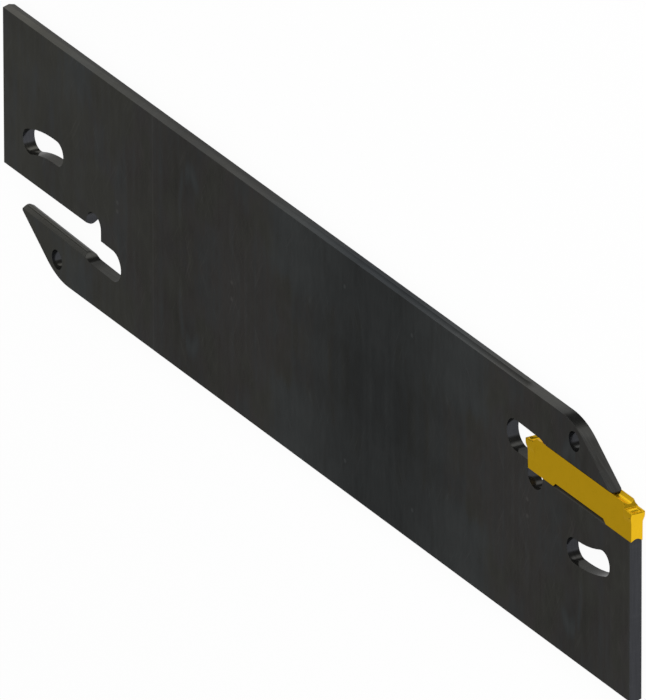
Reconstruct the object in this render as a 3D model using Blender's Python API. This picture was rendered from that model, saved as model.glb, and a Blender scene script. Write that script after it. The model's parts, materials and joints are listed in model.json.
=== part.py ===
# Parting blade: a thin steel blade with a self-gripping pocket at each end,
# and one double-ended carbide insert held in the right-hand pocket.
# The blade lies flat: +X along its length, +Y across its height, +Z out of the upper face.
import math

import bmesh
import bpy
from mathutils import Matrix

MM = 0.001

# Blade
BLADE_LENGTH = 150.0 * MM
BLADE_HEIGHT = 32.0 * MM  # over the ridges of the two V edges
BLADE_THICKNESS = 1.7 * MM
EDGE_V_ANGLE = math.radians(150.0)

# Ridge that both jaws carry, and that the insert's grooves ride on
RIDGE_ANGLE = math.radians(120.0)
RIDGE_RADIUS = 0.75 * MM

# Pocket, measured from the blade's end face and its upper ridge
SEAT_RIDGE_BELOW_TOP = 10.45 * MM
SEAT_LENGTH = 20.3 * MM
POCKET_OPENING = 4.05 * MM  # from the seat's ridge to the finger's ridge, at the back of the seat
RELIEF_RADIUS = 1.78 * MM
RELIEF_DEPTH = 2.0 * MM
EMPTY_JAW_ANGLE = math.radians(1.5)  # how far the finger closes when the pocket is empty
LOADED_JAW_ANGLE = 0.0

# Slot behind the pocket, which lets the finger bend
SLOT_RADIUS = 2.035 * MM
SLOT_REACH = 2.84 * MM
SLOT_RISE = 3.23 * MM
UNDERCUT_RADIUS = 3.1 * MM
UNDERCUT_SETBACK = 1.08 * MM

# Clamping finger
FINGER_SETBACK = 4.5 * MM
FINGER_NOSE = 0.27 * MM
FINGER_SLOPE = math.radians(35.3)
FINGER_RADIUS = 9.2 * MM
FINGER_RELIEF_LENGTH = 23.5 * MM
RUNOUT_RADIUS = 8.0 * MM

# Holes for the key that opens the finger
PIN_HOLE_RADIUS = 1.27 * MM
PIN_HOLE_FROM_TIP = 8.45 * MM
PIN_HOLE_BELOW_TOP = 2.6 * MM
KEY_SLOT_WIDTH = 3.27 * MM
KEY_SLOT_RADIUS = 17.54 * MM
KEY_SLOT_START_ANGLE = math.radians(-1.95)
KEY_SLOT_SWEEP = math.radians(22.4)
KEY_SLOT_FROM_END = 12.46 * MM
KEY_SLOT_BELOW_SEAT = 6.41 * MM

# Insert
INSERT_LENGTH = 24.74 * MM
INSERT_BODY_WIDTH = 1.62 * MM
CUTTING_WIDTH = 2.0 * MM
FIT_CLEARANCE = 0.05 * MM  # between the insert and the seat, the finger and the stop
FRONT_CLEARANCE = math.radians(13.0)  # of the upper part of the end, under the cutting edge
CLEARANCE_HEIGHT = 1.35 * MM
HEEL_CLEARANCE = math.radians(1.0)
EDGE_DROP = 0.77 * MM
CHIP_WALL_SETBACK = 2.4 * MM
CHIP_WALL_SLOPE = math.radians(44.0)
RIM_RISE = 0.05 * MM
BOWL_SETBACK = 0.72 * MM
BOWL_RADIUS = 1.1 * MM
BOWL_DEPTH = 0.15 * MM
BOWL_WIDTH = 1.5 * MM
BOWL_END_RADIUS = 0.35 * MM
NOTCH_LENGTH = 12.3 * MM
NOTCH_DEPTH = 0.55 * MM
NOTCH_RAMP = 0.6 * MM
HEAD_LENGTH = 2.0 * MM
HEAD_STEP = 0.25 * MM
SIDE_RELIEF = math.radians(1.5)
CORNER_RADIUS = 0.2 * MM
HEAD_DEPTH = 0.5 * MM
HEAD_BLEND = 1.05 * MM

# How finely round shapes are divided, and how far a cutter runs past what it cuts
FACET = math.radians(4.0)
FINE_FACET = math.radians(10.0)
BLEND_STEPS = 8
MARGIN = 1.0 * MM

# Places worked out from the sizes above, measured from the blade's centre
END_X = BLADE_LENGTH / 2
TOP_Y = BLADE_HEIGHT / 2
HALF_THICKNESS = BLADE_THICKNESS / 2
EDGE_CORNER_Y = TOP_Y - HALF_THICKNESS / math.tan(EDGE_V_ANGLE / 2)


def ridge_sag(across):
    """How far the jaw ridge has fallen at a distance from the blade's middle plane."""
    flank = (math.pi - RIDGE_ANGLE) / 2
    tangent = RIDGE_RADIUS * math.sin(flank)
    across = abs(across)
    if across <= tangent:
        return RIDGE_RADIUS - math.sqrt(RIDGE_RADIUS ** 2 - across ** 2)
    return RIDGE_RADIUS * (1 - math.cos(flank)) + (across - tangent) * math.tan(flank)


SEAT_RIDGE_Y = TOP_Y - SEAT_RIDGE_BELOW_TOP
SEAT_CORNER_Y = SEAT_RIDGE_Y - ridge_sag(HALF_THICKNESS)
CLAMP_RIDGE_Y = SEAT_RIDGE_Y + POCKET_OPENING
CLAMP_CORNER_Y = CLAMP_RIDGE_Y + ridge_sag(HALF_THICKNESS)
POCKET_MIDDLE_Y = (SEAT_RIDGE_Y + CLAMP_RIDGE_Y) / 2
SEAT_START_X = END_X - SEAT_LENGTH
STOP_X = SEAT_START_X - 2 * RELIEF_RADIUS
SLOT_X = STOP_X - SLOT_REACH
SLOT_Y = SEAT_CORNER_Y + SLOT_RISE
STOP_TOP_Y = SLOT_Y - SLOT_RADIUS / math.cos(EMPTY_JAW_ANGLE) - SLOT_REACH * math.tan(EMPTY_JAW_ANGLE)
FINGER_TIP_X = END_X - FINGER_SETBACK

INSERT_BASE_Y = SEAT_CORNER_Y + FIT_CLEARANCE
INSERT_TOP_Y = CLAMP_CORNER_Y - FIT_CLEARANCE
CUTTING_EDGE_Y = INSERT_TOP_Y - EDGE_DROP


def end_recess(drop):
    """How far the insert's end has receded at a depth below the cutting edge."""
    upper = min(drop, CLEARANCE_HEIGHT)
    return upper * math.tan(FRONT_CLEARANCE) + (drop - upper) * math.tan(HEEL_CLEARANCE)


REAR_EDGE_X = STOP_X + FIT_CLEARANCE - end_recess(CUTTING_EDGE_Y - STOP_TOP_Y)
INSERT_X = REAR_EDGE_X + INSERT_LENGTH / 2
OVERHANG = INSERT_X + INSERT_LENGTH / 2 - END_X


def clear_scene():
    for obj in list(bpy.data.objects):
        bpy.data.objects.remove(obj, do_unlink=True)


def make_collection(name):
    collection = bpy.data.collections.new(name)
    bpy.context.scene.collection.children.link(collection)
    return collection


def make_empty(name, collection, location, turn=0.0, parent=None):
    empty = bpy.data.objects.new(name, None)
    empty.location = location
    empty.rotation_euler = (0.0, 0.0, turn)
    empty.parent = parent
    collection.objects.link(empty)
    return empty


def make_material(name, color, metallic, roughness):
    material = bpy.data.materials.new(name)
    material.use_nodes = True
    shader = material.node_tree.nodes["Principled BSDF"]
    shader.inputs["Base Color"].default_value = (*color, 1.0)
    shader.inputs["Metallic"].default_value = metallic
    shader.inputs["Roughness"].default_value = roughness
    return material


def arc(center, radius, start, end, facet=FACET):
    """Points along an arc, from one angle to another, both ends included."""
    steps = max(2, math.ceil(abs(end - start) / facet))
    angles = [start + (end - start) * i / steps for i in range(steps + 1)]
    return [(center[0] + radius * math.cos(a), center[1] + radius * math.sin(a)) for a in angles]


# Which way an outline's two axes and its depth point: seen from the side, the end or above
SIDE_VIEW = Matrix(((1, 0, 0), (0, 1, 0), (0, 0, 1)))
END_VIEW = Matrix(((0, 0, 1), (1, 0, 0), (0, 1, 0)))
PLAN_VIEW = Matrix(((1, 0, 0), (0, 0, -1), (0, 1, 0)))


def make_prism(name, outline, depth, collection, view=SIDE_VIEW, parent=None, location=(0, 0, 0)):
    """A flat outline given a depth, as a closed mesh centred on the outline's plane."""
    curve = bpy.data.curves.new(name, "CURVE")
    curve.dimensions = "2D"
    curve.fill_mode = "BOTH"
    curve.extrude = depth / 2
    spline = curve.splines.new("POLY")
    spline.points.add(len(outline) - 1)
    for point, (a, b) in zip(spline.points, outline):
        point.co = (a, b, 0.0, 1.0)
    spline.use_cyclic_u = True
    drawn = bpy.data.objects.new(name + "_outline", curve)
    collection.objects.link(drawn)
    bpy.context.view_layer.update()
    mesh = bpy.data.meshes.new_from_object(drawn.evaluated_get(bpy.context.evaluated_depsgraph_get()))
    bpy.data.objects.remove(drawn, do_unlink=True)
    bpy.data.curves.remove(curve)
    bm = bmesh.new()
    bm.from_mesh(mesh)
    bmesh.ops.remove_doubles(bm, verts=bm.verts, dist=0.001 * MM)
    bmesh.ops.transform(bm, matrix=view.to_4x4(), verts=bm.verts)
    bmesh.ops.recalc_face_normals(bm, faces=bm.faces)
    bm.to_mesh(mesh)
    bm.free()
    mesh.name = name
    prism = bpy.data.objects.new(name, mesh)
    prism.parent = parent
    prism.location = location
    collection.objects.link(prism)
    return prism


def make_rod(name, radius, center, depth, collection, parent):
    """A round cutter that stands across the blade."""
    bm = bmesh.new()
    bmesh.ops.create_cone(
        bm, cap_ends=True, segments=math.ceil(2 * math.pi / FACET),
        radius1=radius, radius2=radius, depth=depth,
    )
    mesh = bpy.data.meshes.new(name)
    bm.to_mesh(mesh)
    bm.free()
    rod = bpy.data.objects.new(name, mesh)
    rod.parent = parent
    rod.location = (*center, 0.0)
    collection.objects.link(rod)
    return rod


def apply_cutter(target, cutter, operation="DIFFERENCE"):
    cutter.hide_render = True
    cutter.display_type = "WIRE"
    modifier = target.modifiers.new(cutter.name, "BOOLEAN")
    modifier.operation = operation
    modifier.solver = "EXACT"
    modifier.object = cutter


def ridge_section(base_y, direction, half_width, far_y):
    """End-view section bounded by the jaw ridge on one side and a flat on the other.

    base_y is the ridge's own height, direction is +1 where the ridge points up."""
    flank = (math.pi - RIDGE_ANGLE) / 2
    tangent = RIDGE_RADIUS * math.sin(flank)
    crown = [tangent * i / BLEND_STEPS for i in range(-BLEND_STEPS, BLEND_STEPS + 1)]
    stations = [-half_width, *crown, half_width]
    section = [(base_y - direction * ridge_sag(z), z) for z in stations]
    return [*section, (far_y, half_width), (far_y, -half_width)]


def back_of_pocket_outline():
    """Relief, stop, bending slot and undercut, drawn as one opening."""
    lean = EMPTY_JAW_ANGLE
    slot_center = (SLOT_X, SLOT_Y)
    slot_end = arc(slot_center, SLOT_RADIUS, 3 * math.pi / 2 - lean, math.pi / 2 - lean)
    undercut_x = SEAT_START_X - UNDERCUT_SETBACK
    undercut_y = SLOT_Y + (SLOT_RADIUS - UNDERCUT_RADIUS) / math.cos(lean) - (undercut_x - SLOT_X) * math.tan(lean)
    undercut = arc((undercut_x, undercut_y), UNDERCUT_RADIUS, math.pi / 2 - lean, 0.0)
    relief_center = (SEAT_START_X - RELIEF_RADIUS, SEAT_CORNER_Y - RELIEF_DEPTH + RELIEF_RADIUS)
    relief = arc(relief_center, RELIEF_RADIUS, 0.0, -math.pi)
    return [(STOP_X, STOP_TOP_Y), *slot_end, *undercut, (SEAT_START_X, undercut_y), *relief]


def outside_of_finger_outline():
    """What is ground away above the finger and in front of its tip."""
    tip_drop = (FINGER_TIP_X - SEAT_START_X) * math.tan(EMPTY_JAW_ANGLE)
    nose_y = CLAMP_CORNER_Y - tip_drop + FINGER_NOSE
    slope_top_x = FINGER_TIP_X - (EDGE_CORNER_Y - nose_y) / math.tan(FINGER_SLOPE)
    bend_x = slope_top_x - FINGER_RADIUS * math.tan(FINGER_SLOPE / 2)
    bend = arc((bend_x, EDGE_CORNER_Y - FINGER_RADIUS), FINGER_RADIUS, math.pi / 2, math.pi / 2 - FINGER_SLOPE)
    runout_x = END_X - FINGER_RELIEF_LENGTH
    climb = TOP_Y + MARGIN - EDGE_CORNER_Y
    runout_turn = math.acos(1 - climb / RUNOUT_RADIUS)
    runout_center = (runout_x, EDGE_CORNER_Y + RUNOUT_RADIUS)
    runout = arc(runout_center, RUNOUT_RADIUS, -math.pi / 2 - runout_turn, -math.pi / 2)
    return [
        *runout,
        *bend,
        (FINGER_TIP_X, nose_y),
        (FINGER_TIP_X, POCKET_MIDDLE_Y),
        (END_X + MARGIN, POCKET_MIDDLE_Y),
        (END_X + MARGIN, TOP_Y + MARGIN),
    ]


def key_slot_outline():
    """A curved slot of one width, whose middle line is an arc."""
    half = KEY_SLOT_WIDTH / 2
    center = (END_X - KEY_SLOT_FROM_END, SEAT_CORNER_Y - KEY_SLOT_BELOW_SEAT + KEY_SLOT_RADIUS)
    start = KEY_SLOT_START_ANGLE - math.pi / 2
    end = start + KEY_SLOT_SWEEP
    first = (center[0] + KEY_SLOT_RADIUS * math.cos(start), center[1] + KEY_SLOT_RADIUS * math.sin(start))
    last = (center[0] + KEY_SLOT_RADIUS * math.cos(end), center[1] + KEY_SLOT_RADIUS * math.sin(end))
    lower = arc(center, KEY_SLOT_RADIUS + half, start, end)
    right_end = arc(last, half, end, end + math.pi)
    upper = arc(center, KEY_SLOT_RADIUS - half, end, start)
    left_end = arc(first, half, start + math.pi, start + 2 * math.pi)
    return [*lower, *right_end[1:-1], *upper, *left_end[1:-1]]


def cut_pocket(blade, name, turn, jaw_angle, origin, cutters):
    """Cut one end of the blade. The left end is the right end turned half a turn."""
    pocket = make_empty(name, cutters, (0.0, 0.0, 0.0), turn, origin)
    through = BLADE_THICKNESS + 2 * MARGIN
    half_width = HALF_THICKNESS + MARGIN
    opening = make_prism(name + "_back", back_of_pocket_outline(), through, cutters, parent=pocket)
    apply_cutter(blade, opening)

    seat_run = SEAT_LENGTH + MARGIN + RELIEF_RADIUS
    seat_section = ridge_section(SEAT_RIDGE_Y, 1, half_width, POCKET_MIDDLE_Y)
    seat_middle = SEAT_START_X - RELIEF_RADIUS + seat_run / 2
    seat = make_prism(name + "_seat", seat_section, seat_run, cutters, END_VIEW, pocket, (seat_middle, 0, 0))
    apply_cutter(blade, seat)

    jaw_overlap = POCKET_OPENING / 4
    jaw_section = ridge_section(0.0, -1, half_width, -POCKET_OPENING / 2 - jaw_overlap)
    jaw_run = SEAT_LENGTH + MARGIN + UNDERCUT_SETBACK
    jaw = make_prism(name + "_jaw", jaw_section, jaw_run, cutters, END_VIEW, pocket)
    pivot = Matrix.Translation((SEAT_START_X, CLAMP_RIDGE_Y, 0)) @ Matrix.Rotation(-jaw_angle, 4, "Z")
    jaw.matrix_local = pivot @ Matrix.Translation((jaw_run / 2 - UNDERCUT_SETBACK, 0, 0))
    apply_cutter(blade, jaw)

    finger = make_prism(name + "_finger", outside_of_finger_outline(), through, cutters, parent=pocket)
    apply_cutter(blade, finger)
    pin_center = (FINGER_TIP_X - PIN_HOLE_FROM_TIP, EDGE_CORNER_Y - PIN_HOLE_BELOW_TOP)
    apply_cutter(blade, make_rod(name + "_pin_hole", PIN_HOLE_RADIUS, pin_center, through, cutters, pocket))
    key_slot = make_prism(name + "_key_slot", key_slot_outline(), through, cutters, parent=pocket)
    apply_cutter(blade, key_slot)


def make_blade(parts, cutters, origin):
    """A bar with a V along both long edges, then one pocket cut at each end."""
    section = [
        (TOP_Y, 0.0),
        (EDGE_CORNER_Y, HALF_THICKNESS),
        (-EDGE_CORNER_Y, HALF_THICKNESS),
        (-TOP_Y, 0.0),
        (-EDGE_CORNER_Y, -HALF_THICKNESS),
        (EDGE_CORNER_Y, -HALF_THICKNESS),
    ]
    blade = make_prism("blade", section, BLADE_LENGTH, parts, END_VIEW, origin)
    blade.data.materials.append(make_material("blackened_steel", (0.035, 0.035, 0.034), 0.9, 0.42))
    cut_pocket(blade, "right_pocket", 0.0, LOADED_JAW_ANGLE, origin, cutters)
    cut_pocket(blade, "left_pocket", math.pi, EMPTY_JAW_ANGLE, origin, cutters)
    return blade


def insert_side_outline():
    """Side view of the insert, its right half first and then the same mirrored."""
    tip = INSERT_LENGTH / 2
    rim_y = CUTTING_EDGE_Y + RIM_RISE
    brink_x = tip - CHIP_WALL_SETBACK
    foot_x = brink_x + (INSERT_TOP_Y - rim_y) / math.tan(CHIP_WALL_SLOPE)
    half = [
        (brink_x, INSERT_TOP_Y),
        (foot_x, rim_y),
        (tip, CUTTING_EDGE_Y),
        (tip - end_recess(CLEARANCE_HEIGHT), CUTTING_EDGE_Y - CLEARANCE_HEIGHT),
        (tip - end_recess(CUTTING_EDGE_Y - INSERT_BASE_Y), INSERT_BASE_Y),
        (NOTCH_LENGTH / 2, INSERT_BASE_Y),
        (NOTCH_LENGTH / 2 - NOTCH_RAMP, INSERT_BASE_Y + NOTCH_DEPTH),
    ]
    return half + [(-x, y) for x, y in reversed(half)]


def insert_plan_outline():
    """View from above: a straight body that widens at each cutting head."""
    tip = INSERT_LENGTH / 2
    head = CUTTING_WIDTH / 2
    back_of_head = head - (HEAD_LENGTH - HEAD_STEP) * math.tan(SIDE_RELIEF)
    corner = arc((tip - CORNER_RADIUS, head - CORNER_RADIUS), CORNER_RADIUS, math.pi / 2, 0.0, FINE_FACET)
    quarter = [
        (tip - HEAD_LENGTH, INSERT_BODY_WIDTH / 2),
        (tip - HEAD_LENGTH + HEAD_STEP, back_of_head),
        *corner,
    ]
    half = quarter + [(x, -z) for x, z in reversed(quarter)]
    return half + [(-x, -z) for x, z in half]


def under_head_section(side):
    """End-view section beside the body, below the widened heads, with a smooth run-out."""
    body = INSERT_BODY_WIDTH / 2
    head = CUTTING_WIDTH / 2
    head_y = CUTTING_EDGE_Y - HEAD_DEPTH
    blend = []
    for i in range(BLEND_STEPS + 1):
        part = i / BLEND_STEPS
        across = body + (head - body) * (1 + math.cos(math.pi * part)) / 2
        blend.append((head_y - HEAD_BLEND * part, side * across))
    floor_y = INSERT_BASE_Y - MARGIN
    outer = side * (CUTTING_WIDTH / 2 + MARGIN)
    return [(head_y, outer), *blend, (floor_y, side * body), (floor_y, outer)]


def make_chip_bowl(name, center, collection, parent):
    """A drum with rounded ends that lies across the insert, and leaves a rim at each side."""
    beyond_rim = BOWL_END_RADIUS - BOWL_DEPTH - RIM_RISE
    straight = BOWL_WIDTH / 2 - math.sqrt(BOWL_END_RADIUS ** 2 - beyond_rim ** 2)
    inner = BOWL_RADIUS - BOWL_END_RADIUS
    half_length = straight + BOWL_END_RADIUS
    rounded = arc((inner, straight), BOWL_END_RADIUS, 0.0, math.pi / 2, FINE_FACET)
    outline = [(radius, -z) for radius, z in reversed(rounded)] + rounded
    bm = bmesh.new()
    profile = [bm.verts.new((radius, 0.0, z)) for radius, z in [(0, -half_length), *outline, (0, half_length)]]
    edges = [bm.edges.new(pair) for pair in zip(profile, profile[1:])]
    bmesh.ops.spin(
        bm, geom=[*profile, *edges], cent=(0, 0, 0), axis=(0, 0, 1), angle=2 * math.pi,
        steps=math.ceil(2 * math.pi / FINE_FACET), use_merge=True,
    )
    bmesh.ops.remove_doubles(bm, verts=bm.verts, dist=0.001 * MM)
    bmesh.ops.recalc_face_normals(bm, faces=bm.faces)
    mesh = bpy.data.meshes.new(name)
    bm.to_mesh(mesh)
    bm.free()
    drum = bpy.data.objects.new(name, mesh)
    drum.parent = parent
    drum.location = (*center, 0.0)
    collection.objects.link(drum)
    return drum


def make_insert(parts, cutters, origin):
    """Side view and plan view intersected, then the heads, grooves and chip bowls are cut."""
    place = make_empty("insert_place", cutters, (INSERT_X, 0.0, 0.0), parent=origin)
    blank = CUTTING_WIDTH + MARGIN
    insert = make_prism("cutting_insert", insert_side_outline(), blank, parts, parent=place)
    insert.data.materials.append(make_material("coated_carbide", (0.88, 0.51, 0.02), 1.0, 0.3))
    plan = make_prism("insert_plan", insert_plan_outline(), BLADE_HEIGHT, cutters, PLAN_VIEW, place)
    apply_cutter(insert, plan, "INTERSECT")

    whole = INSERT_LENGTH + 2 * MARGIN
    for name, side in (("upper_flank", 1), ("lower_flank", -1)):
        apply_cutter(insert, make_prism(name, under_head_section(side), whole, cutters, END_VIEW, place))

    wide = INSERT_BODY_WIDTH / 2 + MARGIN
    base_section = ridge_section(SEAT_RIDGE_Y + FIT_CLEARANCE, 1, wide, INSERT_BASE_Y - MARGIN)
    apply_cutter(insert, make_prism("base_groove", base_section, whole, cutters, END_VIEW, place))
    top_section = ridge_section(CLAMP_RIDGE_Y - FIT_CLEARANCE, -1, wide, INSERT_TOP_Y + MARGIN)
    apply_cutter(insert, make_prism("top_groove", top_section, whole, cutters, END_VIEW, place))
    bowl_y = CUTTING_EDGE_Y - BOWL_DEPTH + BOWL_RADIUS
    for name, direction in (("front_bowl", 1), ("rear_bowl", -1)):
        bowl_x = direction * (INSERT_LENGTH / 2 - BOWL_SETBACK)
        apply_cutter(insert, make_chip_bowl(name, (bowl_x, bowl_y), cutters, place))
    return insert


def main():
    clear_scene()
    parts = make_collection("parting_blade")
    cutters = make_collection("cutters")
    # The origin is under the middle of the whole part, with the insert's overhang counted
    origin = make_empty("blade_center", parts, (-OVERHANG / 2, 0.0, CUTTING_WIDTH / 2))
    for part in (make_blade(parts, cutters, origin), make_insert(parts, cutters, origin)):
        part.data.shade_smooth()
        part.data.set_sharp_from_angle(angle=math.radians(30.0))
    bpy.context.view_layer.update()


main()
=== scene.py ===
# Looks of the parting blade: blackened steel, a gold-coated insert, a white studio and the photo's view.
import json
import math

import bpy
from mathutils import Matrix, Vector

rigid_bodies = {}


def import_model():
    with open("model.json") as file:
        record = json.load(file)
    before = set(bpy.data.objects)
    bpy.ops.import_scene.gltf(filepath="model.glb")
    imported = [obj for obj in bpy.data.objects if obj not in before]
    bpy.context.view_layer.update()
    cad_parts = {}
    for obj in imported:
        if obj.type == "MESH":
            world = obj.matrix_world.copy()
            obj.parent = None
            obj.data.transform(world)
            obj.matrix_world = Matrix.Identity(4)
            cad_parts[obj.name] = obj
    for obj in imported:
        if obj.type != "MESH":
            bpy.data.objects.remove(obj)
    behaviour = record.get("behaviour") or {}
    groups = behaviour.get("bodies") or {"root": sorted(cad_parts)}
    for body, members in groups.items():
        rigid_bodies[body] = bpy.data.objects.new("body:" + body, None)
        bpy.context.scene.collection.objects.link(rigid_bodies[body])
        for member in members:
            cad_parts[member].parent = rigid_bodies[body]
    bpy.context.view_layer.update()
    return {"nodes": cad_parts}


MM = 0.001

# Camera: a very long lens, so that edges that are parallel on the blade stay nearly parallel in the picture
CAMERA_AZIMUTH = math.radians(118.699)
CAMERA_ELEVATION = math.radians(27.011)
CAMERA_ROLL = math.radians(-104.118)
CAMERA_LENS_MM = 1500.0
CAMERA_SENSOR_MM = 36.0
CAMERA_DISTANCE = 3.5183
CAMERA_AIM = Vector((-0.0325, -0.3452, 0.3812)) * MM
CAMERA_CLIP_START = 0.1
CAMERA_CLIP_END = 20.0

# Steel: a thin dark oxide over metal, so part of it scatters light and part mirrors it
STEEL_SHADE = 0.0515
STEEL_METAL = 0.65
STEEL_ROUGHNESS = 0.30
STEEL_EDGE_TINT = 0.6
STEEL_BLUE = (0.95, 1.01, 1.015)
STEEL_BROWN = (1.05, 0.985, 0.94)
STEEL_OLIVE = (1.015, 1.01, 0.90)
STEEL_BEVEL = 0.05 * MM
STEEL_RELIEF = 0.002 * MM
# The walls are the cut edges, the holes and the slots: cleaner metal than the flat sides, less stained
WALL_METAL = 0.84
WALL_ROUGHNESS = 0.14
WALL_STAINS = 0.45
WALL_MARKS = 0.4  # cutting marks on the walls other than the fingers' slopes
# Colours of the walls: beside the stains' mirror place, further from it, and at the blade's left end
WALL_BLUE = (0.92, 1.025, 1.12)
WALL_GREY = (1.0, 1.005, 0.95)
WALL_WARM = (1.02, 0.995, 0.88)
WALL_TINT_SHARE = 0.3  # how much of the flat sides' colour the walls take
# Painted bluish reflection on the walls that face along the blade
END_FACE_REFLECTION_TINT = (0.92, 0.95, 1.05)  # of the walls that face along the blade

# Stains. They repeat on both sides of one place along the blade, and above and below its middle line.
STAIN_MIRROR_MM = 15.7
MIDDLE_TONE = 0.80
SIDE_TONE = 0.98
DULL_LEVEL = -0.06
ENDS_LEVEL = 0.19
STAIN_LEVELS = {
    "clouds": 0.36, "streaks": 0.28, "grain": 0.15, "mottle": 0.35, "scored": 0.20, "wiped": 0.22,
    "band": 0.12, "inner_dark": -0.11, "outer_dark": -0.08, "end_dark": -0.10, "pale": 0.14,
    "full_line": 0.20, "end_line": 0.09, "short_lines": 0.10,
}
# How blue each stain is, or how brown where the number is negative
BLUE_LEVELS = {
    "patches": -0.7, "clouds": 0.3, "streaks": 0.8, "pale": 0.25, "wiped": 0.4, "band": 0.5,
    "inner_brown": -0.18,
}
BLUE_IN_MIDDLE = 0.28
BLUE_AT_SIDES = -0.08
OLIVE_AT_ENDS = 0.16
FULL_LINE_LEFT = 1.0  # the full line is bright on the left half and dark on the right
FULL_LINE_RIGHT = -0.5
SCRATCH_ANGLES = ((24.0, 5.0), (-31.0, 11.0))  # degrees, and a number that sets the pattern
SPECKS_MM = ((8.0, 11.6), (35.2, 1.1), (63.0, 0.6))  # along from the mirror place, and across
SPECK_LEVEL = 0.45
SMUDGE_MIDDLE_MM = (45.2, 5.5)
SMUDGE_RADII_MM = (2.6, 6.2)
SMUDGE_SLANT = 0.45
SMUDGE_STREAKS = 2.0
SMUDGE_FILL = 0.8
# Patterns: a blotch's size in millimetres along the blade, across it and through it, then the detail,
# roughness and distortion of the noise
CLOUDS = ((7.5, 6.5, 6.5), 3.0, 0.55, 0.8)
PATCHES = ((6.0, 8.0, 8.0), 2.0, 0.5, 0.6)
PATCH_SHIFT = (31.0, 17.0, 0.0)
STREAKS = ((1.1, 13.0, 13.0), 3.0, 0.6, 0.3)
GRAIN = ((0.13, 2.2, 2.2), 2.0, 0.6)
MOTTLE = ((1.0, 4.2, 4.2), 3.0, 0.65, 0.5)
SCRATCH_LINES = ((0.16, 4.5, 4.5), 1.0)
SCRATCH_GROUPS = ((4.0, 7.0, 7.0), 1.0)
CUTTING_MARKS = ((4.5, 4.5, 0.24), 2.0, 0.6)
MARK_SKEW = 0.09
ROUGH_LEVELS = {"clouds": 0.12, "streaks": 0.10}
RELIEF_LEVELS = {"grain": 0.6, "scored": -0.5}  # beside the streaks
RELIEF_STRENGTH = 0.5

# Brightness of the worn places on the walls, and of the darker ones. Some are painted light: painted
# highlights on the jaws' flanks, the jaws and the fingers' slopes, and painted shade in the relief holes and
# on the slopes' front part
WEAR_AND_PAINTED_LIGHT_LEVELS = {
    "jaw_flank_highlight": 0.60, "jaw": 0.03, "relief_hole_shade": -0.30, "ground_flat": 0.06, "worn_run": 0.50,
    "finger_end": 0.22, "marks": 1.0, "slope": 0.17, "slope_front": -0.26,
}

# Where each mask starts and where it is full, or where it starts to fall and where it is gone.
# Along is measured from the stains' mirror place, far from the part's middle, and rows from its middle line,
# all in millimetres. A run is x on the upper edge and minus x on the lower one. Upright, lean and end-on say
# how squarely the surface faces Y, Z and X, from 0 to 1.
SPANS = {
    "side_along": (4.0, 20.0), "ends_along": (50.0, 88.0), "blue_along": (14.0, 27.0),
    "olive_along": (55.0, 80.0), "grey_wall_along": (0.0, 34.0), "warm_wall_along": (60.0, 88.0),
    "inner_dark_along": (20.0, 36.0), "full_line_x": (-5.0, 5.0),
    "outer_rows": (5.0, 8.5), "inner_rows": (4.0, 9.0), "end_dark_rows": (7.0, 12.0),
    "pale_rows": (8.0, 13.0), "short_line_rows": (4.5, 6.5), "smudge_rows": (3.0, 5.5),
    "smudge_slant": (46.8, 48.4),
    "speck": (0.12, 0.42), "scratch_lines": (0.08, 0.26), "scratch_groups": (-0.10, 0.14),
    "olive": (-0.10, 0.16), "blue": (-0.18, 0.28),
    "flat_side_lean": (0.55, 0.8), "jaw_metal_lean": (0.27, 0.33), "end_face": (0.70, 0.95),
    "pocket_rows_from": (4.4, 5.0), "pocket_rows_to": (12.0, 13.5), "jaw_far": (54.9, 55.5),
    "jaw_upright": (0.80, 0.86), "ground_flat_upright": (0.975, 0.99), "edge_rows": (13.5, 14.5),
    "edge_upright": (0.93, 0.98), "run_from": (18.0, 48.0), "run_to": (56.0, 60.0),
    "finger_end_far": (66.0, 70.0), "slope_front_z": (0.7, 1.7), "ceiling": (0.0, 0.16),
}
# Middle and half-width of the masks that rise and fall again
BUMPS = {
    "dull_along": (46.0, 11.0), "band_along": (21.5, 7.0), "inner_brown_along": (18.0, 13.0),
    "outer_dark_along": (47.0, 8.0), "end_dark_along": (79.0, 7.0), "pale_along": (73.0, 6.5),
    "full_line_along": (54.3, 0.25), "end_line_along": (86.8, 0.45),
    "near_line_along": (29.5, 0.2), "next_line_along": (32.0, 0.2), "smudge_curve": (1.0, 0.32),
    "jaw_flank_lean": (0.42, 0.16), "relief_hole_far": (53.7, 2.2), "slope_end_on": (0.57, 0.14),
}

# Insert
GOLD_COLOR = (0.88, 0.526, 0.0160)
GOLD_EDGE_TINT = (1.0, 0.9, 0.5)
GOLD_ROUGHNESS = 0.30
GOLD_BLOTCHES = ((1.6, 1.6, 1.6), 3.0)
GOLD_GRAIN = ((0.06, 0.06, 0.06), 2.0, 0.6)
GOLD_TONE_LEVELS = {"blotches": 0.10, "grain": 0.06}
GOLD_ROUGH_LEVELS = {"blotches": 0.08, "grain": 0.10}
GOLD_RELIEF = 0.0008 * MM
INSERT_BEVEL = 0.045 * MM

# Clean-up of the solids' facets before the edges are broken
WELD_DISTANCE = 0.0005 * MM
FLAT_ANGLE = math.radians(0.5)
SHARP_ANGLE = math.radians(25.0)

FLOOR_SIZE = 4.0
FLOOR_SHADE = 0.8
FLOOR_SEEN_SHADE = 0.97
FLOOR_GLOW = 0.93  # how far the floor is plain white to the camera; the rest keeps the blade's shadow
WORLD_LEVEL = 0.45
CEILING_LEVEL = 0.39
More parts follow.
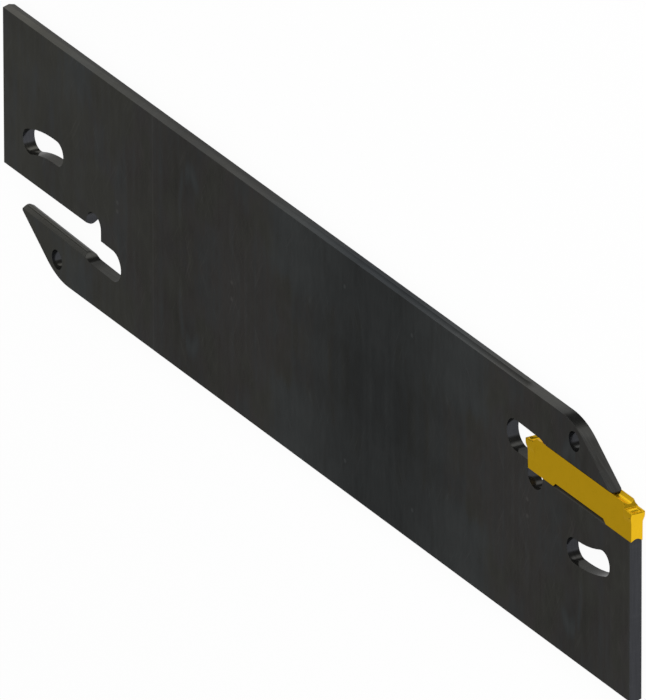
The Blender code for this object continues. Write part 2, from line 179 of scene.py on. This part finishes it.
# Gaps between the studio's white walls: azimuth, elevation, inner and outer angle in degrees, and darkness.
# Two are brighter places, with a negative darkness.
STUDIO_GAPS = (
    (127.0, -27.0, 7.0, 20.0, 0.88),
    (56.0, -27.0, 6.0, 28.0, 0.85),
    (-125.0, -27.0, 20.0, 45.0, 0.5),
    (-30.0, -27.0, 30.0, 60.0, 0.10),
    (172.0, -40.0, 4.0, 22.0, 0.28),
    (143.0, -13.0, 4.0, 13.0, -0.32),
    (98.0, -27.0, 3.0, 10.0, -0.35),
)
LAMP_DISTANCE = 1.0
LAMP_SIZE = 0.8
EDGE_LAMP_TOWARD = (0.30, 0.75, 0.60)
EDGE_LAMP_LEVEL = 0.5
END_LAMP_TOWARD = (0.90, -0.20, 0.40)
END_LAMP_LEVEL = 0.3


def clear_scene():
    for obj in list(bpy.data.objects):
        bpy.data.objects.remove(obj, do_unlink=True)


class Nodes:
    """Builds a node tree: each call adds one node, links what is given and returns its output."""

    def __init__(self, tree):
        self.tree = tree
        tree.nodes.clear()

    def plug(self, socket, value):
        if isinstance(value, bpy.types.NodeSocket):
            self.tree.links.new(value, socket)
        elif value is not None:
            socket.default_value = value

    def add(self, kind, inputs=(), out=0, **settings):
        node = self.tree.nodes.new(kind)
        for name, value in settings.items():
            setattr(node, name, value)
        for name, value in dict(inputs).items():
            self.plug(node.inputs[name], value)
        return node.outputs[out]

    def finish(self, kind, shader):
        self.plug(self.tree.nodes.new(kind).inputs["Surface"], shader)

    def split(self, vector):
        node = self.tree.nodes.new("ShaderNodeSeparateXYZ")
        self.plug(node.inputs[0], vector)
        return node.outputs

    def light_path(self):
        return self.tree.nodes.new("ShaderNodeLightPath").outputs

    def math(self, operation, a, b=None, c=None, clamp=False):
        return self.add("ShaderNodeMath", {0: a, 1: b, 2: c}, operation=operation, use_clamp=clamp)

    def absolute(self, value):
        return self.math("ABSOLUTE", value)

    def inverse(self, mask):
        return self.math("SUBTRACT", 1.0, mask)

    def plus(self, value, mask, amount):
        """The value with an amount of the mask added."""
        return self.math("MULTIPLY_ADD", mask, amount, value)

    def product(self, first, *others):
        for other in others:
            first = self.math("MULTIPLY", first, other)
        return first

    def total(self, start, masks, levels):
        """The start with each named mask added at its level."""
        for name, level in levels.items():
            start = self.plus(start, masks[name], level)
        return start

    def distance(self, a, b):
        return self.math("SQRT", self.math("ADD", self.product(a, a), self.product(b, b)))

    def vector(self, operation, a, b=None, scale=None, out=0):
        inputs = {0: a}
        if b is not None:
            inputs[1] = b
        if scale is not None:
            inputs["Scale"] = scale
        return self.add("ShaderNodeVectorMath", inputs, out, operation=operation)

    def noise(self, vector, stretch, detail=2.0, roughness=0.5, distortion=0.0):
        """Noise around 0, mostly between -0.3 and 0.3. stretch is the size of a blotch along each axis."""
        inputs = {
            "Vector": self.vector("DIVIDE", vector, stretch), "Scale": 1.0, "Detail": detail,
            "Roughness": roughness, "Distortion": distortion,
        }
        return self.math("SUBTRACT", self.add("ShaderNodeTexNoise", inputs), 0.5)

    def ramp(self, value, low, high, to_low=0.0, to_high=1.0, smooth=True):
        inputs = {
            "Value": value, "From Min": low, "From Max": high, "To Min": to_low, "To Max": to_high,
        }
        kind = "SMOOTHSTEP" if smooth else "LINEAR"
        return self.add("ShaderNodeMapRange", inputs, interpolation_type=kind, clamp=True)

    def rise(self, value, span):
        return self.ramp(value, *SPANS[span])

    def fall(self, value, span):
        return self.ramp(value, *SPANS[span], 1.0, 0.0)

    def bump_shape(self, value, bump):
        """1 at the bump's middle, falling smoothly to 0 at its half-width on both sides."""
        middle, half_width = BUMPS[bump]
        off = self.absolute(self.math("SUBTRACT", value, middle))
        return self.ramp(off, 0.0, half_width, 1.0, 0.0)

    def choose(self, mask, at_0, at_1):
        """A number that goes evenly from one value to the other with the mask."""
        return self.ramp(mask, 0.0, 1.0, at_0, at_1, smooth=False)

    def spot(self, direction, azimuth, elevation, inner, outer):
        """1 within the inner angle of a direction in the sky, 0 beyond the outer one. Angles in degrees."""
        level = math.cos(math.radians(elevation))
        center = (
            math.cos(math.radians(azimuth)) * level,
            math.sin(math.radians(azimuth)) * level,
            math.sin(math.radians(elevation)),
        )
        near = self.vector("DOT_PRODUCT", direction, center, out="Value")
        return self.ramp(near, math.cos(math.radians(outer)), math.cos(math.radians(inner)))

    def mix(self, factor, a, b):
        node = self.tree.nodes.new("ShaderNodeMix")
        node.data_type = "RGBA"
        for name, value in (("Factor_Float", factor), ("A_Color", a), ("B_Color", b)):
            socket = next(s for s in node.inputs if s.identifier == name)
            self.plug(socket, (*value, 1.0) if isinstance(value, tuple) else value)
        return next(s for s in node.outputs if s.identifier == "Result_Color")


def new_material(name):
    material = bpy.data.materials.new(name)
    material.use_nodes = True
    return material, Nodes(material.node_tree)


def position_mm(n):
    return n.vector("SCALE", n.add("ShaderNodeTexCoord", out="Object"), scale=1.0 / MM)


def wall_wear_and_painted_light(n, place, across, normal, wall, end_face):
    """Worn places and painted light on the walls: painted highlights on the jaws and the fingers' slopes,
    painted shade in the relief holes and on the slopes' front part, and the flats, the fingers' tops, ends
    and cutting marks.
    """
    axes = n.split(place)
    x = axes["X"]
    far = n.absolute(x)
    upright = n.absolute(normal["Y"])
    pocket_rows = n.product(n.rise(across, "pocket_rows_from"), n.fall(across, "pocket_rows_to"), wall)
    outer_edge = n.product(n.rise(across, "edge_rows"), n.rise(upright, "edge_upright"))
    # The part is the same turned half round, so the worn run is at the right on top and at the left below
    run = n.product(x, normal["Y"])
    slope = n.product(n.bump_shape(n.absolute(normal["X"]), "slope_end_on"), wall)
    # Cutting marks run along the edges, a little askew, and show most on the fingers' slopes
    askew = n.add("ShaderNodeCombineXYZ", {"Z": n.product(x, MARK_SKEW)})
    marks = n.noise(n.vector("ADD", place, askew), *CUTTING_MARKS)
    masks = {
        # Painted highlight on the faces that lean like the jaws' flanks
        "jaw_flank_highlight": n.bump_shape(n.absolute(normal["Z"]), "jaw_flank_lean"),
        # Painted highlight on the jaws' faces beside the pockets
        "jaw": n.product(pocket_rows, n.rise(far, "jaw_far"), n.rise(upright, "jaw_upright")),
        # Painted shade inside the relief holes beside the pockets
        "relief_hole_shade": n.product(pocket_rows, n.bump_shape(far, "relief_hole_far")),
        "ground_flat": n.rise(upright, "ground_flat_upright"),
        "worn_run": n.product(n.rise(run, "run_from"), n.fall(run, "run_to"), outer_edge),
        "finger_end": n.product(n.rise(far, "finger_end_far"), wall, n.inverse(end_face)),
        "marks": n.product(marks, n.plus(slope, wall, WALL_MARKS)),
        # Painted highlight on the fingers' slopes, chosen by how they face along the blade
        "slope": slope,
        # Painted shade on the front part of the fingers' slopes
        "slope_front": n.product(slope, n.rise(axes["Z"], "slope_front_z")),
    }
    return n.total(0.0, masks, WEAR_AND_PAINTED_LIGHT_LEVELS)


def scratches(n, place, angle, seed):
    """Thin sparse scratches that lie at an angle to the blade's height, gathered in groups."""
    turned = n.add("ShaderNodeVectorRotate", {
        "Vector": place, "Angle": math.radians(angle), "Axis": (0.0, 0.0, 1.0),
    }, rotation_type="AXIS_ANGLE")
    shifted = n.vector("ADD", turned, (seed, 2.0 * seed, 0.0))
    lines = n.rise(n.noise(shifted, *SCRATCH_LINES), "scratch_lines")
    groups = n.rise(n.noise(shifted, *SCRATCH_GROUPS), "scratch_groups")
    return n.product(lines, groups)


def smudge(n, along, across, streaks):
    """A wiped curve beside each pocket, one above and one below the blade's middle."""
    middle_along, middle_across = SMUDGE_MIDDLE_MM
    radius_along, radius_across = SMUDGE_RADII_MM
    reach = n.math("DIVIDE", n.math("SUBTRACT", along, middle_along), radius_along)
    height = n.math("DIVIDE", n.math("SUBTRACT", across, middle_across), radius_across)
    curve = n.bump_shape(n.distance(reach, height), "smudge_curve")
    slanted = n.plus(along, across, SMUDGE_SLANT)
    part = n.product(n.rise(across, "smudge_rows"), n.rise(slanted, "smudge_slant"))
    broken = n.math("MULTIPLY_ADD", streaks, SMUDGE_STREAKS, SMUDGE_FILL, clamp=True)
    return n.product(curve, part, broken)


def stain_masks(n, place, x, mirrored, along, across):
    """The stains by name: clouds, streaks across the height, grain, scratches, bands, patches and lines."""
    streaks = n.noise(mirrored, *STREAKS)
    outer_rows = n.rise(across, "outer_rows")
    inner_rows = n.fall(across, "inner_rows")
    full_line_side = n.ramp(x, *SPANS["full_line_x"], FULL_LINE_LEFT, FULL_LINE_RIGHT)
    near_line = n.bump_shape(along, "near_line_along")
    short_lines = n.math("MAXIMUM", near_line, n.bump_shape(along, "next_line_along"))
    return {
        "clouds": n.noise(mirrored, *CLOUDS),
        "patches": n.noise(n.vector("ADD", mirrored, PATCH_SHIFT), *PATCHES),
        "streaks": streaks,
        "grain": n.noise(place, *GRAIN),
        "mottle": n.noise(mirrored, *MOTTLE),
        "scored": n.math("ADD", *(scratches(n, mirrored, angle, seed) for angle, seed in SCRATCH_ANGLES)),
        "wiped": smudge(n, along, across, streaks),
        "band": n.product(n.bump_shape(along, "band_along"), outer_rows),
        "inner_dark": n.product(n.fall(along, "inner_dark_along"), inner_rows),
        "inner_brown": n.product(n.bump_shape(along, "inner_brown_along"), inner_rows),
        "outer_dark": n.product(n.bump_shape(along, "outer_dark_along"), outer_rows),
        "end_dark": n.product(n.bump_shape(along, "end_dark_along"), n.fall(across, "end_dark_rows")),
        "pale": n.product(n.bump_shape(along, "pale_along"), n.rise(across, "pale_rows")),
        "full_line": n.product(n.bump_shape(along, "full_line_along"), full_line_side),
        "end_line": n.bump_shape(along, "end_line_along"),
        "short_lines": n.product(short_lines, n.fall(across, "short_line_rows")),
    }


def steel_tint(n, masks, along, flat_side, end_face):
    """Oxide colours: brown and olive towards the ends, blue-grey in the middle and in patches, and a painted
    bluish reflection on the walls that face along the blade.
    """
    olive = n.plus(masks["patches"], n.rise(along, "olive_along"), OLIVE_AT_ENDS)
    warm = n.mix(n.rise(olive, "olive"), STEEL_BROWN, STEEL_OLIVE)
    bluish = n.ramp(along, *SPANS["blue_along"], BLUE_IN_MIDDLE, BLUE_AT_SIDES)
    bluish = n.rise(n.total(bluish, masks, BLUE_LEVELS), "blue")
    tint = n.mix(bluish, warm, STEEL_BLUE)
    wall_tint = n.mix(n.rise(along, "grey_wall_along"), WALL_BLUE, WALL_GREY)
    wall_tint = n.mix(n.rise(along, "warm_wall_along"), wall_tint, WALL_WARM)
    tint = n.mix(flat_side, n.mix(WALL_TINT_SHARE, wall_tint, tint), tint)
    # Painted bluish reflection on the walls that face along the blade
    return n.mix(end_face, tint, END_FACE_REFLECTION_TINT)


def make_steel():
    material, n = new_material("blackened_steel")
    place = position_mm(n)
    axes = n.split(place)
    along = n.absolute(n.math("SUBTRACT", axes["X"], STAIN_MIRROR_MM))
    across = n.absolute(axes["Y"])
    mirrored = n.add("ShaderNodeCombineXYZ", {"X": along, "Y": across, "Z": axes["Z"]})
    normal = n.split(n.add("ShaderNodeTexCoord", out="Normal"))
    lean = n.absolute(normal["Z"])
    flat_side = n.rise(lean, "flat_side_lean")
    end_face = n.rise(n.absolute(normal["X"]), "end_face")

    # Broad tone along the blade: a dark middle and paler ends
    tone = n.ramp(along, *SPANS["side_along"], MIDDLE_TONE, SIDE_TONE)
    tone = n.plus(tone, n.bump_shape(along, "dull_along"), DULL_LEVEL)
    tone = n.plus(tone, n.rise(along, "ends_along"), ENDS_LEVEL)
    masks = stain_masks(n, place, axes["X"], mirrored, along, across)
    stains = n.total(0.0, masks, STAIN_LEVELS)
    for speck_along, speck_across in SPECKS_MM:
        off = n.distance(n.math("SUBTRACT", along, speck_along), n.math("SUBTRACT", across, speck_across))
        stains = n.plus(stains, n.fall(off, "speck"), SPECK_LEVEL)
    tone = n.plus(tone, stains, n.choose(flat_side, WALL_STAINS, 1.0))
    # The walls' worn places, with painted highlights on the jaws and slopes and painted shade in the relief
    # holes
    tone = n.math("ADD", tone, wall_wear_and_painted_light(n, place, across, normal, n.inverse(flat_side), end_face))
    tint = steel_tint(n, masks, along, flat_side, end_face)
    color = n.vector("SCALE", tint, scale=n.product(tone, STEEL_SHADE))

    rough = n.choose(flat_side, WALL_ROUGHNESS, STEEL_ROUGHNESS)
    height = n.total(masks["streaks"], masks, RELIEF_LEVELS)
    relief = {"Strength": RELIEF_STRENGTH, "Distance": STEEL_RELIEF, "Height": height}
    inputs = {
        "Base Color": color,
        "Metallic": n.ramp(lean, *SPANS["jaw_metal_lean"], WALL_METAL, STEEL_METAL),
        "Roughness": n.total(rough, masks, ROUGH_LEVELS),
        "Specular IOR Level": 0.0,
        "Specular Tint": (STEEL_EDGE_TINT, STEEL_EDGE_TINT, STEEL_EDGE_TINT, 1.0),
        "Normal": n.add("ShaderNodeBump", relief),
    }
    n.finish("ShaderNodeOutputMaterial", n.add("ShaderNodeBsdfPrincipled", inputs))
    return material


def make_gold():
    material, n = new_material("gold_coating")
    place = position_mm(n)
    masks = {"blotches": n.noise(place, *GOLD_BLOTCHES), "grain": n.noise(place, *GOLD_GRAIN)}
    relief = {"Strength": RELIEF_STRENGTH, "Distance": GOLD_RELIEF, "Height": masks["grain"]}
    inputs = {
        "Base Color": n.vector("SCALE", GOLD_COLOR, scale=n.total(1.0, masks, GOLD_TONE_LEVELS)),
        "Metallic": 1.0,
        "Roughness": n.total(GOLD_ROUGHNESS, masks, GOLD_ROUGH_LEVELS),
        "Specular Tint": (*GOLD_EDGE_TINT, 1.0),
        "Normal": n.add("ShaderNodeBump", relief),
    }
    n.finish("ShaderNodeOutputMaterial", n.add("ShaderNodeBsdfPrincipled", inputs))
    return material


def dress(node, material, bevel):
    """Give a CAD node its finish: welded corners, smooth round faces and slightly broken edges."""
    obj = frame["nodes"][node]
    obj.data.materials.clear()
    obj.data.materials.append(material)
    # Round faces are shaded smooth, without the facets' own normals
    normals = obj.data.attributes.get("custom_normal")
    if normals:
        obj.data.attributes.remove(normals)
    obj.data.shade_smooth()
    weld = obj.modifiers.new("weld", "WELD")
    weld.merge_threshold = WELD_DISTANCE
    flats = obj.modifiers.new("whole_flats", "DECIMATE")
    flats.decimate_type = "DISSOLVE"
    flats.angle_limit = FLAT_ANGLE
    edges = obj.modifiers.new("broken_edges", "BEVEL")
    edges.width = bevel
    edges.segments = 2
    edges.limit_method = "ANGLE"
    edges.angle_limit = SHARP_ANGLE
    edges.use_clamp_overlap = False
    edges.harden_normals = True
    edges.miter_outer = "MITER_ARC"


def make_floor():
    bpy.ops.mesh.primitive_plane_add(size=FLOOR_SIZE)
    floor = bpy.context.object
    floor.name = "floor"
    floor.visible_glossy = False  # the metal mirrors the studio below the blade, not the floor it lies on
    material, n = new_material("floor_white")
    path = n.light_path()
    seen = n.math("MAXIMUM", path["Is Camera Ray"], path["Is Glossy Ray"])
    seen = n.math("MAXIMUM", seen, path["Is Transmission Ray"])
    shade = n.add("ShaderNodeBsdfDiffuse", {"Color": n.choose(seen, FLOOR_SHADE, FLOOR_SEEN_SHADE)})
    glow = n.add("ShaderNodeEmission", {"Color": (1.0, 1.0, 1.0, 1.0), "Strength": 1.0})
    share = n.product(seen, FLOOR_GLOW)
    n.finish("ShaderNodeOutputMaterial", n.add("ShaderNodeMixShader", {0: share, 1: shade, 2: glow}))
    floor.data.materials.append(material)


def make_world():
    """White for the camera, an even grey for soft light, and a studio of white walls for reflections."""
    world = bpy.data.worlds.new("studio")
    bpy.context.scene.world = world
    world.use_nodes = True
    world.cycles.sampling_method = "NONE"
    n = Nodes(world.node_tree)
    direction = n.add("ShaderNodeTexCoord", out="Generated")
    studio = n.ramp(n.split(direction)["Z"], *SPANS["ceiling"], 1.0, CEILING_LEVEL)
    for azimuth, elevation, inner, outer, darkness in STUDIO_GAPS:
        gap = n.spot(direction, azimuth, elevation, inner, outer)
        studio = n.product(studio, n.plus(1.0, gap, -darkness))
    path = n.light_path()
    plain = n.math("MAXIMUM", path["Is Camera Ray"], path["Is Transmission Ray"])
    glossy = path["Is Glossy Ray"]
    level = n.product(n.choose(plain, WORLD_LEVEL, 1.0), n.inverse(glossy))
    level = n.plus(level, studio, glossy)
    back = n.add("ShaderNodeBackground", {"Color": (1.0, 1.0, 1.0, 1.0), "Strength": level})
    n.finish("ShaderNodeOutputWorld", back)


def make_lamp(name, toward, level):
    """A soft square lamp that faces the blade. level is its light on a white surface turned to it."""
    data = bpy.data.lights.new(name, "AREA")
    data.shape = "SQUARE"
    data.size = LAMP_SIZE
    data.energy = level * math.pi * 4.0 * LAMP_DISTANCE ** 2
    lamp = bpy.data.objects.new(name, data)
    bpy.context.scene.collection.objects.link(lamp)
    lamp.visible_glossy = False
    toward = Vector(toward).normalized()
    lamp.location = toward * LAMP_DISTANCE
    lamp.rotation_euler = toward.to_track_quat("Z", "Y").to_euler()


def make_camera():
    data = bpy.data.cameras.new("camera")
    data.lens = CAMERA_LENS_MM
    data.sensor_width = CAMERA_SENSOR_MM
    data.clip_start = CAMERA_CLIP_START
    data.clip_end = CAMERA_CLIP_END
    camera = bpy.data.objects.new("camera", data)
    bpy.context.scene.collection.objects.link(camera)
    azimuth, elevation = CAMERA_AZIMUTH, CAMERA_ELEVATION
    level = math.cos(elevation)
    back = Vector((math.sin(azimuth) * level, -math.cos(azimuth) * level, math.sin(elevation)))
    level_right = Vector((math.cos(azimuth), math.sin(azimuth), 0.0))
    level_up = back.cross(level_right)
    right = level_right * math.cos(CAMERA_ROLL) + level_up * math.sin(CAMERA_ROLL)
    turn = Matrix((right, back.cross(right), back)).transposed()
    camera.matrix_world = Matrix.Translation(CAMERA_AIM + back * CAMERA_DISTANCE) @ turn.to_4x4()
    bpy.context.scene.camera = camera


clear_scene()
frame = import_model()
bpy.context.scene.view_settings.view_transform = "Standard"
dress("blade", make_steel(), STEEL_BEVEL)
dress("cutting_insert", make_gold(), INSERT_BEVEL)
make_floor()
make_world()
make_lamp("edge_lamp", EDGE_LAMP_TOWARD, EDGE_LAMP_LEVEL)
make_lamp("end_lamp", END_LAMP_TOWARD, END_LAMP_LEVEL)
make_camera()
